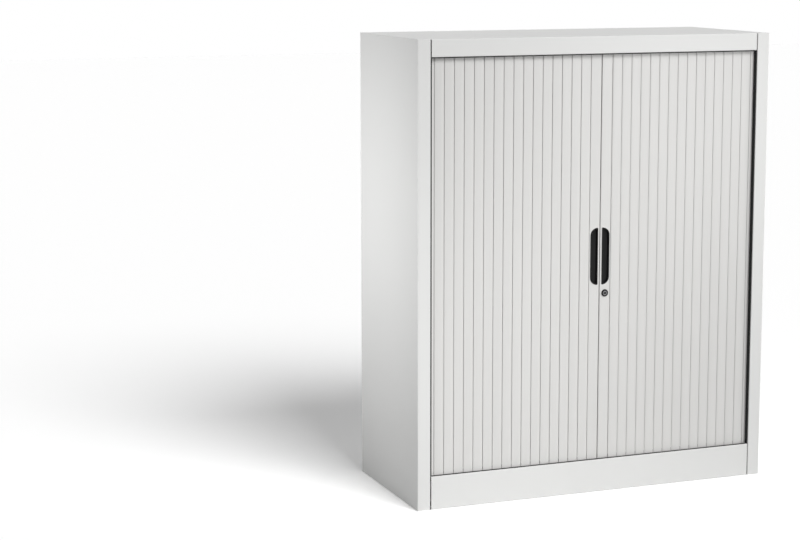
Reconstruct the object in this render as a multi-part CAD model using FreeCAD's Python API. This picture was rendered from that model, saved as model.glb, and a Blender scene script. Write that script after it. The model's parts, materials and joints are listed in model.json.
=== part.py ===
import FreeCAD, Part
import math
import os

# A steel tambour cabinet. Two curtains of upright plastic slats meet near the middle and open sideways.
# Millimetres. X to the right, Y to the back, Z up. Origin on the floor, under the cabinet's middle.

# Outside of the case
case_width = 1000.0
case_depth = 420.0
case_height = 1200.0

# Sheet steel and its folds
sheet = 1.0
bend_inside = 1.0
fold_depth = 20.0

# Front frame: the stiles are folded from the side panels, the rail from the top panel
stile_width = 35.0
stile_return = 8.0
rear_flange = 20.0
reveal = 2.5
rail_height = 45.0
plinth_height = 87.0
edge_return = 3.0
plinth_foot_fold = 15.0
rail_back_fold = 20.0

# Curtain: every slat is a thin wedge, so that it can slide behind the next one
curtain_recess = 12.0
meeting_x = 14.0
meeting_gap = 1.0
slat_pitch = 27.1
slat_seam = 0.8
slat_edge = 0.8
slat_ease = 3.0
slat_ease_drop = 0.35
stack_pitch = 2.3
stack_clearance = 0.15

# Leading slat of each door, a hollow bar
lead_pitch = 31.4
lead_depth = 12.0
lead_wall = 1.6
lead_ease = 0.8
lead_joint_margin = 6.0

# Tracks for the slat ends
track_wall = 2.0
track_foot_lip = 0.5
track_head_lip = 2.5
track_rear_lip = 6.0
track_front_gap = 1.5
track_rear_gap = 1.25
slat_foot_gap = 0.3
slat_head_gap = 2.0
head_space = 31.0
side_groove = 10.0

# Strips on the stile returns
guide_wall = 2.0
guide_hook = 3.5
guide_front_gap = 2.0

# Inside of the case
deck_height = 76.0
deck_fold = 25.0
pocket_width = 37.0
liner_gap = 2.0
back_foot = 20.0
back_play = 0.3
end_play = 0.5

# Shelves hang on clips in two columns of slots
shelf_fold = 25.0
shelf_lip = 10.0
shelf_side_play = 0.5
shelf_front_gap = 1.0
shelf_back_gap = 8.0
slot_width = 5.0
slot_height = 12.0
slot_pitch = 25.0
slot_first = 45.0
slot_end_margin = 60.0
slot_column_inset = 45.0
lower_shelf_share = 0.3
upper_shelf_share = 0.65
clip_wall = 1.5
clip_height = 20.0
clip_width = 14.0
clip_seat = 16.0
clip_hook_play = 0.5
clip_hook_reach = 3.0

# Grips, D-shaped cups with the straight side towards the meeting line
grip_width = 22.0
grip_height = 150.0
grip_middle_z = 628.0
grip_from_meeting = 5.5
grip_end_radius = 20.0
grip_corner = 2.0
grip_bezel = 1.8
grip_wall = 1.1
grip_proud = 1.2
grip_cup_depth = 9.4
grip_play = 0.3

# Lock in the right leading slat
lock_z = 530.0
lock_flange_r = 9.75
lock_flange = 3.0
lock_flange_taper = 0.75
lock_body_r = 8.0
lock_length = 21.7
plug_r = 5.6
plug_gap = 0.05
plug_set_back = 0.3
plug_length = 22.0
tang_side = 7.0
tang_length = 4.0
tang_play = 0.05
key_thickness = 1.8
key_length = 7.0
key_depth = 9.0
lock_play = 0.2
cam_sheet = 2.0
cam_width = 13.0
cam_tip = 6.0
notch_play = 1.2
notch_depth = 7.0
keeper_from_meeting = 11.0
keeper_sheet = 3.0
keeper_plate = 1.5
keeper_width = 14.0
keeper_height = 26.0
keeper_overrun = 2.0

# Levelling feet
foot_pad_r = 15.0
foot_pad_height = 6.0
foot_stud_r = 4.0
foot_gap = 0.05
foot_nut_r = 8.0
foot_nut_height = 10.0
foot_inset_x = 60.0
foot_inset_y = 45.0
foot_top_gap = 2.0
foot_key_r = 2.0
foot_key_depth = 5.0

# How far a cut runs past what it cuts
overrun = 1.0

# Places worked out from the sizes above
half_width = case_width / 2
half_depth = case_depth / 2
front_y = -half_depth
back_y = half_depth
curtain_y = front_y + curtain_recess
wall_x = half_width - sheet
stile_x = half_width - stile_width
guide_x = stile_x - guide_wall
frame_x = stile_x - reveal
roof_z = case_height - sheet
rail_z = case_height - rail_height
liner_x = half_width - pocket_width
panel_y = back_y - sheet

left_slat_count = math.ceil((stile_x + meeting_x - lead_pitch) / slat_pitch)
right_slat_count = math.ceil((stile_x - meeting_x - lead_pitch) / slat_pitch)
stack_depth = slat_edge + stack_pitch * max(left_slat_count, right_slat_count)
lip_y = curtain_y - track_front_gap
track_front_y = front_y + edge_return
track_back_y = curtain_y + stack_depth + track_rear_gap
liner_y = track_back_y + track_wall + liner_gap
track_floor_z = deck_height + track_wall
track_roof_z = roof_z - head_space - track_wall
slat_foot_z = track_floor_z + slat_foot_gap
slat_head_z = track_roof_z - slat_head_gap


def vec(x, y, z):
    return FreeCAD.Vector(x, y, z)


def block(x_ends, y_ends, z_ends):
    """A box from one end to the other along each axis."""
    low = vec(min(x_ends), min(y_ends), min(z_ends))
    high = vec(max(x_ends), max(y_ends), max(z_ends))
    size = high - low
    return Part.makeBox(size.x, size.y, size.z, low)


def closed_wire(points):
    return Part.makePolygon(list(points) + [points[0]])


def upright(points, foot, head):
    """A prism on a plan outline of (x, y) points."""
    outline = closed_wire([vec(x, y, foot) for x, y in points])
    return Part.Face(outline).extrude(vec(0, 0, head - foot))


def joined(shapes):
    whole = shapes[0].multiFuse(shapes[1:])
    return whole.removeSplitter()


def mirrored(shape):
    """The right-hand twin of a left-hand piece."""
    return shape.mirror(vec(0, 0, 0), vec(1, 0, 0))


def save(shape, name):
    shape.exportStep(os.path.join("parts", name + ".step"))


def offset_corner(before, corner, after, normal, distance):
    """Where the second face of a sheet turns, for a first face that turns at corner."""
    come = (corner - before).normalize()
    leave = (after - corner).normalize()
    side = normal.cross(come) + normal.cross(leave)
    return corner + side * (distance / (1 + come.dot(leave)))


def rounded_run(points, radii):
    """Edges along the points, each inner corner rounded by its own radius."""
    edges = []
    start = points[0]
    for before, corner, after, radius in zip(points, points[1:], points[2:], radii):
        come = (corner - before).normalize()
        leave = (after - corner).normalize()
        cut = radius * math.tan(come.getAngle(leave) / 2)
        arc_start = corner - come * cut
        arc_end = corner + leave * cut
        middle = (arc_start + arc_end) / 2
        centre = corner + (middle - corner) * ((cut ** 2 + radius ** 2) / cut ** 2)
        arc_middle = centre + (corner - centre).normalize() * radius
        edges.append(Part.makeLine(start, arc_start))
        edges.append(Part.Arc(arc_start, arc_middle, arc_end).toShape())
        start = arc_end
    edges.append(Part.makeLine(start, points[-1]))
    return edges


def folded(points, normal, length):
    """A folded sheet. The points run along its outside, and every fold turns to the left of the run."""
    inner = [points[0] + normal.cross(points[1] - points[0]).normalize() * sheet]
    for before, corner, after in zip(points, points[1:], points[2:]):
        inner.append(offset_corner(before, corner, after, normal, sheet))
    inner.append(points[-1] + normal.cross(points[-1] - points[-2]).normalize() * sheet)
    folds = len(points) - 2
    outside = rounded_run(points, [bend_inside + sheet] * folds)
    inside = rounded_run(inner, [bend_inside] * folds)
    ends = [Part.makeLine(points[0], inner[0]), Part.makeLine(points[-1], inner[-1])]
    section = Part.Wire(Part.__sortEdges__(outside + inside + ends))
    return Part.Face(section).extrude(normal * length)


def side_panel():
    """Outer wall, front stile, its return and a flange for the back, folded from one sheet."""
    outside = [
        vec(-half_width + rear_flange, back_y, 0),
        vec(-half_width, back_y, 0),
        vec(-half_width, front_y, 0),
        vec(-stile_x, front_y, 0),
        vec(-stile_x, front_y + stile_return, 0),
    ]
    return folded(outside, vec(0, 0, 1), roof_z)


def top_panel():
    """Roof, front rail with its lower return, and a short fold at the back."""
    start = -frame_x
    outside = [
        vec(start, back_y, case_height - rail_back_fold),
        vec(start, back_y, case_height),
        vec(start, front_y, case_height),
        vec(start, front_y, rail_z),
        vec(start, front_y + edge_return, rail_z),
    ]
    pieces = [folded(outside, vec(1, 0, 0), 2 * frame_x)]
    for side in (-1, 1):
        ends = (side * frame_x, side * half_width)
        pieces.append(block(ends, (front_y, back_y), (roof_z, case_height)))
        flange = (side * (wall_x - sheet), side * wall_x)
        pieces.append(block(flange, (liner_y, back_y - rear_flange), (roof_z - fold_depth, roof_z)))
    return joined(pieces)


def head_channel():
    """A channel under the roof that carries the upper track."""
    low = roof_z - head_space
    rear = track_back_y + track_wall
    outside = [
        vec(-wall_x, lip_y + end_play, roof_z),
        vec(-wall_x, lip_y + end_play, low),
        vec(-wall_x, rear, low),
        vec(-wall_x, rear, roof_z),
    ]
    return folded(outside, vec(1, 0, 0), 2 * wall_x)


def foot_places():
    x = half_width - foot_inset_x
    y = half_depth - foot_inset_y
    return {
        "front_left_foot": vec(-x, -y, 0),
        "front_right_foot": vec(x, -y, 0),
        "rear_left_foot": vec(-x, y, 0),
        "rear_right_foot": vec(x, y, 0),
    }


def bottom_panel():
    """Floor of the case with its edges folded down and four welded nuts."""
    under = deck_height - sheet
    low = deck_height - deck_fold
    front = front_y + sheet
    notch = lip_y
    deck = [
        (-wall_x, panel_y - sheet), (-wall_x, notch), (-frame_x, notch), (-frame_x, front),
        (frame_x, front), (frame_x, notch), (wall_x, notch), (wall_x, panel_y - sheet),
    ]
    pieces = [
        upright(deck, under, deck_height),
        block((-frame_x, frame_x), (front, front + sheet), (low, deck_height)),
        block((-wall_x, wall_x), (panel_y - 2 * sheet, panel_y - sheet), (low, deck_height)),
    ]
    for side in (-1, 1):
        ends = (side * (wall_x - sheet), side * wall_x)
        pieces.append(block(ends, (notch, panel_y - sheet), (low, deck_height)))
    floor = joined(pieces + [nut(place) for place in foot_places().values()])
    bores = [foot_bore(place) for place in foot_places().values()]
    return floor.cut(Part.makeCompound(bores))


def nut(place):
    low = place + vec(0, 0, deck_height - sheet - foot_nut_height)
    return Part.makeCylinder(foot_nut_r, foot_nut_height, low)


def foot_bore(place):
    low = place + vec(0, 0, deck_height - sheet - foot_nut_height - overrun)
    return Part.makeCylinder(foot_stud_r + foot_gap, foot_nut_height + sheet + 2 * overrun, low)


def foot(place):
    """Pad and stud of a levelling foot, with a key socket in its upper end."""
    top = deck_height - foot_top_gap
    pad = Part.makeCylinder(foot_pad_r, foot_pad_height, place)
    stud = Part.makeCylinder(foot_stud_r, top, place)
    socket = Part.makeCylinder(foot_key_r, foot_key_depth + overrun, place + vec(0, 0, top - foot_key_depth))
    return pad.fuse(stud).removeSplitter().cut(socket)


def plinth():
    """Front plinth between the stiles, down to the floor."""
    start = -frame_x
    outside = [
        vec(start, front_y + edge_return, plinth_height),
        vec(start, front_y, plinth_height),
        vec(start, front_y, 0),
        vec(start, front_y + plinth_foot_fold, 0),
    ]
    return folded(outside, vec(1, 0, 0), 2 * frame_x)


def back_panel():
    clear = bend_inside + back_play
    x = wall_x - clear
    return block((-x, x), (panel_y - sheet, panel_y), (back_foot, roof_z - clear))


def edge_guide():
    """Strip clipped over the free edge of a stile's return, so that the curtain runs past it."""
    leg = (-stile_x, -guide_x)
    hook_x = -stile_x - guide_hook
    edge = front_y + stile_return
    front = front_y + guide_front_gap
    pieces = [
        block(leg, (front, lip_y), (0, roof_z)),
        block((hook_x, -guide_x), (edge, lip_y), (0, roof_z)),
        block((hook_x, -stile_x - sheet), (edge - guide_wall, lip_y), (0, roof_z)),
    ]
    return joined(pieces)


def track(low, high, lip_end, rear_lip_end):
    """One track. low and high are the faces of its floor, and the lips rise from it to their ends."""
    near = low if abs(lip_end - low) < abs(lip_end - high) else high
    wide = wall_x - end_play
    lip_back = lip_y
    lip_front = lip_y - track_wall
    inward = math.copysign(track_wall, near - lip_end)
    pieces = [
        block((-frame_x, frame_x), (track_front_y, lip_back), (low, high)),
        block((-wide, wide), (lip_back, track_back_y + track_wall), (low, high)),
        block((-frame_x, frame_x), (lip_front, lip_back), (near, lip_end)),
        block((-frame_x, frame_x), (track_front_y, lip_front), (lip_end, lip_end + inward)),
        block((-liner_x, liner_x), (track_back_y, track_back_y + track_wall), (near, rear_lip_end)),
    ]
    run = (track_back_y + track_wall, panel_y - sheet - end_play)
    middle = half_width - pocket_width / 2
    for side in (-1, 1):
        inner = side * (middle - side_groove / 2)
        outer = side * (middle + side_groove / 2)
        inner_back = inner - side * track_wall
        outer_back = outer + side * track_wall
        pieces.append(block((inner_back, outer_back), run, (low, high)))
        pieces.append(block((inner_back, inner), run, (near, rear_lip_end)))
        pieces.append(block((outer, outer_back), run, (near, rear_lip_end)))
    return joined(pieces)


def bottom_track():
    lip = plinth_height + track_foot_lip
    return track(deck_height, track_floor_z, lip, track_floor_z + track_rear_lip)


def top_track():
    lip = rail_z - track_head_lip
    return track(track_roof_z + track_wall, track_roof_z, lip, track_roof_z - track_rear_lip)


def slot_heights():
    """Middles of the clip slots, from the floor of the case up."""
    first = deck_height + slot_first
    count = int((roof_z - slot_end_margin - first) / slot_pitch) + 1
    return [first + slot_pitch * number for number in range(count)]


def slot_columns():
    return (liner_y + slot_column_inset, panel_y - slot_column_inset)


def liner():
    """Inner wall that keeps the contents out of the curtain's pocket, with slots for the shelf clips."""
    x = -liner_x

    def outline(y_ends, z_ends):
        return closed_wire([
            vec(x, y_ends[0], z_ends[0]), vec(x, y_ends[1], z_ends[0]),
            vec(x, y_ends[1], z_ends[1]), vec(x, y_ends[0], z_ends[1]),
        ])

    wires = [outline((liner_y, panel_y - sheet), (deck_height, roof_z))]
    for y in slot_columns():
        for z in slot_heights():
            y_ends = (y - slot_width / 2, y + slot_width / 2)
            wires.append(outline(y_ends, (z - slot_height / 2, z + slot_height / 2)))
    return Part.Face(wires, "Part::FaceMakerBullseye").extrude(vec(sheet, 0, 0))


def shelf_slot_z(share):
    """Middle of the slots that carry a shelf, which lie at a share of the row of slots."""
    heights = slot_heights()
    return heights[round(share * (len(heights) - 1))]


def shelf_z(share):
    """Upper face of a shelf."""
    return shelf_slot_z(share) - clip_height / 2 + clip_wall + shelf_fold


def shelf(top):
    """Shelf with every edge folded down and the front and back edges returned."""
    low = top - shelf_fold
    front = liner_y + shelf_front_gap
    back = panel_y - shelf_back_gap
    half = liner_x - sheet - clip_wall - shelf_side_play
    start = -half + sheet
    outside = [
        vec(start, back - shelf_lip, low),
        vec(start, back, low),
        vec(start, back, top),
        vec(start, front, top),
        vec(start, front, low),
        vec(start, front + shelf_lip, low),
    ]
    pieces = [folded(outside, vec(1, 0, 0), -2 * start)]
    corner = bend_inside + sheet
    for side in (-1, 1):
        ends = (side * (half - sheet), side * half)
        pieces.append(block(ends, (front + corner, back - corner), (low, top)))
    return joined(pieces)


def clip(side, y, z):
    """Shelf clip: a plate on the liner with a seat below and a hook through the slot."""
    face = liner_x - sheet
    low = z - clip_height / 2
    hook = slot_height / 2 - clip_hook_play
    half = clip_width / 2
    narrow = slot_width / 2 - clip_hook_play
    pieces = [
        block((side * face, side * (face - clip_wall)), (y - half, y + half), (low, z + clip_height / 2)),
        block((side * face, side * (face - clip_seat)), (y - half, y + half), (low, low + clip_wall)),
        block((side * face, side * (face + clip_hook_reach)), (y - narrow, y + narrow), (z - hook, z + hook)),
    ]
    return joined(pieces)


def shelf_clips():
    clips = []
    for share in (lower_shelf_share, upper_shelf_share):
        for side in (-1, 1):
            for y in slot_columns():
                clips.append(clip(side, y, shelf_slot_z(share)))
    return Part.makeCompound(clips)


def door_point(side, across, behind):
    """A plan point of a closed door: across from the meeting line, behind the curtain's face."""
    return (meeting_x + side * across, curtain_y + behind)


def slat(side, number):
    """The numbered slat of a door, counted from the leading slat."""
    start = lead_pitch + slat_pitch * (number - 1)
    width = slat_pitch - slat_seam
    ease = slat_edge * slat_pitch / stack_pitch
    thick_edge = slat_edge + stack_pitch - stack_clearance
    thin_edge = slat_edge + stack_pitch * slat_seam / slat_pitch - stack_clearance
    section = [
        (0, slat_edge), (ease, 0), (width - slat_ease, 0),
        (width, slat_ease_drop), (width, thin_edge), (0, thick_edge),
    ]
    plan = [door_point(side, start + across, behind) for across, behind in section]
    return upright(plan, slat_foot_z, slat_head_z)


def grip_point(side, across, height, behind):
    """A point of a grip, at a height over its middle."""
    x, y = door_point(side, across, behind)
    return vec(x, y, grip_middle_z + height)


def grip_arc(side, behind, centre, radius, angles):
    """An arc between two angles, in a plane behind the curtain's face."""
    points = []
    for angle in (angles[0], sum(angles) / 2, angles[1]):
        across = centre[0] + radius * math.cos(angle)
        points.append(grip_point(side, across, centre[1] + radius * math.sin(angle), behind))
    return Part.Arc(*points).toShape()


def grip_end(inset):
    """Radius of the end arc, and the middle of the small corner beside it, from the arc's centre."""
    radius = grip_end_radius - inset
    across = grip_end_radius - grip_width + inset + grip_corner
    return radius, across, math.sqrt((radius - grip_corner) ** 2 - across ** 2)


def grip_outline(side, inset, behind):
    """The grip's outline, drawn in by inset, on a plane behind the curtain's face."""
    centre = grip_from_meeting + grip_width - grip_end_radius
    straight = grip_height / 2 - grip_corner - grip_end(0)[-1]
    radius, across, rise = grip_end(inset)
    turn = math.atan2(rise, across)
    tip = straight + rise
    edges = []
    for line, reach in ((centre + radius, straight), (grip_from_meeting + inset, tip)):
        foot = grip_point(side, line, -reach, behind)
        edges.append(Part.makeLine(foot, grip_point(side, line, reach, behind)))
    for way in (-1, 1):
        edges.append(grip_arc(side, behind, (centre, way * straight), radius, (0, way * turn)))
        corner = (centre + across, way * tip)
        edges.append(grip_arc(side, behind, corner, grip_corner, (way * turn, way * math.pi)))
    return Part.Wire(Part.__sortEdges__(edges))


def grip_slab(side, inset, start, end):
    return Part.Face(grip_outline(side, inset, start)).extrude(vec(0, end - start, 0))


def handle(side):
    """Grip: a bezel on the slat's face with a finger cup behind it."""
    bezel = grip_slab(side, 0, -grip_proud, 0)
    cup = grip_slab(side, grip_bezel, 0, grip_cup_depth)
    hollow = grip_slab(side, grip_bezel + grip_wall, -grip_proud - overrun, grip_cup_depth - grip_wall)
    return bezel.fuse(cup).removeSplitter().cut(hollow)


def lock_centre():
    x, y = door_point(1, lead_pitch / 2, 0)
    return vec(x, y, lock_z)


def lock_cylinder(radius, start, end):
    """A round bar on the lock's axis, from start to end behind the curtain's face."""
    return Part.makeCylinder(radius, end - start, lock_centre() + vec(0, start, 0), vec(0, 1, 0))


def lead_slat(side):
    """Leading slat: a hollow bar, cut for the grip and, on the right door, for the lock.

    Its three lengths meet face to face, above and below the grip.
    """
    near = meeting_gap / 2
    far = lead_pitch - slat_seam
    outside = [
        (near, lead_ease), (near + lead_ease, 0), (far - lead_ease, 0),
        (far, lead_ease), (far, lead_depth), (near, lead_depth),
    ]
    inside = [
        (near + lead_wall, lead_wall), (far - lead_wall, lead_wall),
        (far - lead_wall, lead_depth - lead_wall), (near + lead_wall, lead_depth - lead_wall),
    ]
    bar_plan = [door_point(side, *point) for point in outside]
    core_plan = [door_point(side, *point) for point in inside]
    core = upright(core_plan, slat_foot_z - overrun, slat_head_z + overrun)
    cuts = [core, grip_slab(side, grip_bezel - grip_play, -overrun, lead_wall + overrun)]
    if side > 0:
        cuts.append(lock_cylinder(lock_body_r + lock_play, -overrun, lead_depth + overrun))
    reach = grip_height / 2 + lead_joint_margin
    joints = (slat_foot_z, grip_middle_z - reach, grip_middle_z + reach, slat_head_z)
    lengths = []
    for foot, head in zip(joints, joints[1:]):
        bar = upright(bar_plan, foot, head)
        lengths += bar.cut(Part.makeCompound(cuts)).Solids
    return Part.makeCompound(lengths)


def lock_barrel():
    start = lock_centre() + vec(0, -lock_flange, 0)
    flange = Part.makeCone(lock_flange_r - lock_flange_taper, lock_flange_r, lock_flange, start, vec(0, 1, 0))
    body = lock_cylinder(lock_body_r, 0, lock_length)
    bore = lock_cylinder(plug_r + plug_gap, -lock_flange - overrun, lock_length + overrun)
    return flange.fuse(body).removeSplitter().cut(bore)


def lock_plug():
    """Turning plug with its key slot and a square tang for the cam."""
    front = plug_set_back - lock_flange
    plug = lock_cylinder(plug_r, front, plug_length)
    centre = lock_centre()
    half = tang_side / 2
    tang = block(
        (centre.x - half, centre.x + half),
        (curtain_y + plug_length, curtain_y + plug_length + tang_length),
        (lock_z - half, lock_z + half),
    )
    key = block(
        (centre.x - key_length / 2, centre.x + key_length / 2),
        (curtain_y + front - overrun, curtain_y + front + key_depth),
        (lock_z - key_thickness / 2, lock_z + key_thickness / 2),
    )
    return plug.fuse(tang).removeSplitter().cut(key)


def keeper_x():
    return door_point(-1, keeper_from_meeting, 0)[0]


def lock_cam():
    """Hooked cam, upright when open. Its notch drops over the keeper after a quarter turn."""
    centre = lock_centre()
    reach = centre.x - keeper_x()
    mouth = keeper_sheet / 2 + notch_play
    half = cam_width / 2
    start = curtain_y + plug_length
    faces = (start, start + cam_sheet)
    arm = block((centre.x - half, centre.x + half), faces, (lock_z - half, lock_z + reach + mouth + cam_tip))
    notch = block(
        (centre.x - half - overrun, centre.x - half + notch_depth),
        (start - overrun, start + cam_sheet + overrun),
        (lock_z + reach - mouth, lock_z + reach + mouth),
    )
    seat = tang_side / 2 + tang_play
    hole = block(
        (centre.x - seat, centre.x + seat),
        (start - overrun, start + cam_sheet + overrun),
        (lock_z - seat, lock_z + seat),
    )
    return arm.cut(Part.makeCompound([notch, hole]))


def strike_plate():
    """Plate behind the left leading slat with a keeper that stands back into the cam's notch."""
    x = keeper_x()
    top = lock_z - cam_width / 2 + notch_depth - notch_play
    rear = curtain_y + lead_depth
    reach = curtain_y + plug_length + cam_sheet + keeper_overrun
    z_ends = (top - keeper_height, top)
    pieces = [
        block((x - keeper_width / 2, x + keeper_width / 2), (rear, rear + keeper_plate), z_ends),
        block((x - keeper_sheet / 2, x + keeper_sheet / 2), (rear, reach), z_ends),
    ]
    return joined(pieces)


def main():
    os.makedirs("parts", exist_ok=True)
    save(side_panel(), "left_side_panel")
    save(mirrored(side_panel()), "right_side_panel")
    save(liner(), "left_liner_panel")
    save(mirrored(liner()), "right_liner_panel")
    save(back_panel(), "back_panel")
    save(top_panel(), "top_panel")
    save(head_channel(), "head_channel")
    save(bottom_panel(), "bottom_panel")
    save(plinth(), "front_plinth")
    save(top_track(), "top_track")
    save(bottom_track(), "bottom_track")
    save(Part.makeCompound([edge_guide(), mirrored(edge_guide())]), "edge_guides")
    save(shelf(shelf_z(lower_shelf_share)), "lower_shelf")
    save(shelf(shelf_z(upper_shelf_share)), "upper_shelf")
    save(shelf_clips(), "shelf_clips")
    for name, place in foot_places().items():
        save(foot(place), name)
    for side, word, count in ((-1, "left", left_slat_count), (1, "right", right_slat_count)):
        save(lead_slat(side), word + "_leading_slat")
        save(handle(side), word + "_handle")
        for number in range(1, count + 1):
            save(slat(side, number), "%s_slat_%02d" % (word, number))
    save(strike_plate(), "strike_plate")
    save(lock_barrel(), "lock_barrel")
    save(lock_plug(), "lock_plug")
    save(lock_cam(), "lock_cam")


main()
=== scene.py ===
# %% [markdown]
# # A steel tambour cabinet
#
# The object is a floor-standing steel cabinet with two curtains of upright plastic slats that open sideways.
# The solids come from CAD at their real size. This script gives every surface its finish, and models the
# pieces whose shape the eye reads at once: the crowned slats, the leading slats, the two grips, the lock and
# the levelling feet. Lengths are in metres, X to the right, Y to the back, Z up.

# %% Load the fixed frame
import json
import math

import bmesh
import bpy
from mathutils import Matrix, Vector


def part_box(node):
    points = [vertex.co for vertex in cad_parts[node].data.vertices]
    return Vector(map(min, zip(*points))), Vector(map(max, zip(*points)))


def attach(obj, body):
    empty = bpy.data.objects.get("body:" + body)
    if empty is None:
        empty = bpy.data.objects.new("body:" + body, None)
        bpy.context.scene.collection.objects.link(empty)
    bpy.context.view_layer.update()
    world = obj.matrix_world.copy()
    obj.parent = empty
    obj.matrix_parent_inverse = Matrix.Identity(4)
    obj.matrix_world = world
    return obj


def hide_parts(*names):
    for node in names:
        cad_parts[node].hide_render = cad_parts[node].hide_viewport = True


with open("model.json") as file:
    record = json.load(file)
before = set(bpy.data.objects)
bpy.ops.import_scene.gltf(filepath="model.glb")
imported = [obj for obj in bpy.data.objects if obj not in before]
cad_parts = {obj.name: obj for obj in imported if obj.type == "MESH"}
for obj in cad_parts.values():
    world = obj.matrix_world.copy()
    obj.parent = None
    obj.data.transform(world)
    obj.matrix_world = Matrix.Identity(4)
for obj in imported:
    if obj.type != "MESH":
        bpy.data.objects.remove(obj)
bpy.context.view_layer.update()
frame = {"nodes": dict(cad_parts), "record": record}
mm = 0.001
nodes = frame["nodes"]
collection = bpy.context.scene.collection


# %% Objects
def add_object(name, data):
    """An object of the scene that holds this mesh, camera or lamp."""
    made = bpy.data.objects.new(name, data)
    collection.objects.link(made)
    return made


# %% [markdown]
# ## The view
#
# The photograph is a product shot: a long lens, and a camera left of the cabinet and a little above its top.
# Its place was fitted to the corners of the case, so it is given as numbers. It looks down by 8 degrees with a
# small shift, so the uprights converge a little. The lens is written for a sensor 36 mm wide.

# %% Camera
camera_place = (-2.2783, -4.7482, 1.4320)
camera_yaw = math.radians(21.349)
camera_pitch = math.radians(8.246)
camera_lens = 88.72
camera_sensor = 36.0
camera_shift = (-0.02, -0.05)

camera_data = bpy.data.cameras.new("photo_camera")
camera_data.sensor_width = camera_sensor
camera_data.lens = camera_lens
camera_data.shift_x, camera_data.shift_y = camera_shift
camera = add_object("photo_camera", camera_data)
camera.location = camera_place
camera.rotation_euler = (math.pi / 2 - camera_pitch, 0, -camera_yaw)
bpy.context.scene.camera = camera
bpy.context.scene.view_settings.view_transform = "Standard"
print("camera", camera_lens, "mm lens")

# %% [markdown]
# ## Wiring shaders without a mouse
#
# A shader is a graph of nodes. A few small helpers keep the script readable: one places a node and fills in
# its sockets, one does a step of arithmetic, and others make the textures that come up again and again. A value
# that is a socket is linked, and a plain number is written into the socket itself.

# %% Node helpers
def feed(tree, socket, value):
    """Links a socket, or writes a plain value into it."""
    if isinstance(value, bpy.types.NodeSocket):
        tree.links.new(value, socket)
    elif value is not None:
        socket.default_value = value


def place(tree, kind, values=None, **settings):
    """A node of this kind, with its settings and with the named sockets fed."""
    node = tree.nodes.new(kind)
    for name, value in settings.items():
        setattr(node, name, value)
    for name, value in (values or {}).items():
        feed(tree, node.inputs[name], value)
    return node


def calc(tree, operation, *values):
    """One step of arithmetic on numbers or sockets."""
    node = tree.nodes.new("ShaderNodeMath")
    node.operation = operation
    for socket, value in zip(node.inputs, values):
        feed(tree, socket, value)
    return node.outputs[0]


def blend_colour(tree, factor, first, second):
    """Mixes two colours by a factor from 0 to 1."""
    node = tree.nodes.new("ShaderNodeMix")
    node.data_type = "RGBA"
    for name, value in (("Factor_Float", factor), ("A_Color", first), ("B_Color", second)):
        feed(tree, next(s for s in node.inputs if s.identifier == name), value)
    return next(s for s in node.outputs if s.identifier == "Result_Color")


def new_group(name, inputs, outputs, kind_of_tree="ShaderNodeTree"):
    """An empty node group with named inputs and outputs, and its two end nodes."""
    tree = bpy.data.node_groups.new(name, kind_of_tree)
    for label, kind, value in inputs:
        socket = tree.interface.new_socket(name=label, in_out="INPUT", socket_type=kind)
        if value is not None:
            socket.default_value = value
    for label, kind in outputs:
        tree.interface.new_socket(name=label, in_out="OUTPUT", socket_type=kind)
    return tree, tree.nodes.new("NodeGroupInput"), tree.nodes.new("NodeGroupOutput")


NUMBER, COLOUR, VECTOR = "NodeSocketFloat", "NodeSocketColor", "NodeSocketVector"
INTEGER, MATERIAL, GEOMETRY = "NodeSocketInt", "NodeSocketMaterial", "NodeSocketGeometry"


# %% Texture helpers
def object_place(tree):
    """Object coordinates, which are the frame's own, because every mesh sits at the origin."""
    return place(tree, "ShaderNodeTexCoord").outputs["Object"]


def noise(tree, where, scale, detail, **more):
    """The value of a noise texture, around 0.5."""
    values = {"Vector": where, "Scale": scale, "Detail": detail, **more}
    return place(tree, "ShaderNodeTexNoise", values).outputs["Fac"]


def bump(tree, height, distance):
    """A normal that is bent as by a relief of this depth."""
    values = {"Height": height, "Distance": distance, "Strength": 1.0}
    return place(tree, "ShaderNodeBump", values).outputs["Normal"]


def vary_tone(tree, start, end, cloud):
    """Puts out the group's colour, lighter or darker by its drift as a slow cloud rises and falls."""
    tone = calc(tree, "MULTIPLY_ADD", calc(tree, "SUBTRACT", cloud, 0.5), start.outputs["Drift"], 1.0)
    tinted = place(tree, "ShaderNodeVectorMath", {"Scale": tone}, operation="SCALE")
    feed(tree, tinted.inputs[0], start.outputs["Colour"])
    feed(tree, end.inputs["Colour"], tinted.outputs[0])


def vary_roughness(tree, start, end, value, amount):
    """Puts out the group's roughness, changed over this amount by a value that runs from 0 to 1."""
    centred = calc(tree, "SUBTRACT", value, 0.5)
    feed(tree, end.inputs["Roughness"], calc(tree, "MULTIPLY_ADD", centred, amount, start.outputs["Roughness"]))


# %% [markdown]
# ## Effects that several finishes share
#
# Powder coat is sprayed dry and melted, which leaves a faint orange peel. Extruded plastic has fine lines along
# its length. Zinc shows large flat crystals. Each effect is a group with its own inputs, built once, and each
# material sets its scale and strength. All of them read Object coordinates, because the meshes have no UV map
# and their objects sit at the origin.

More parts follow.
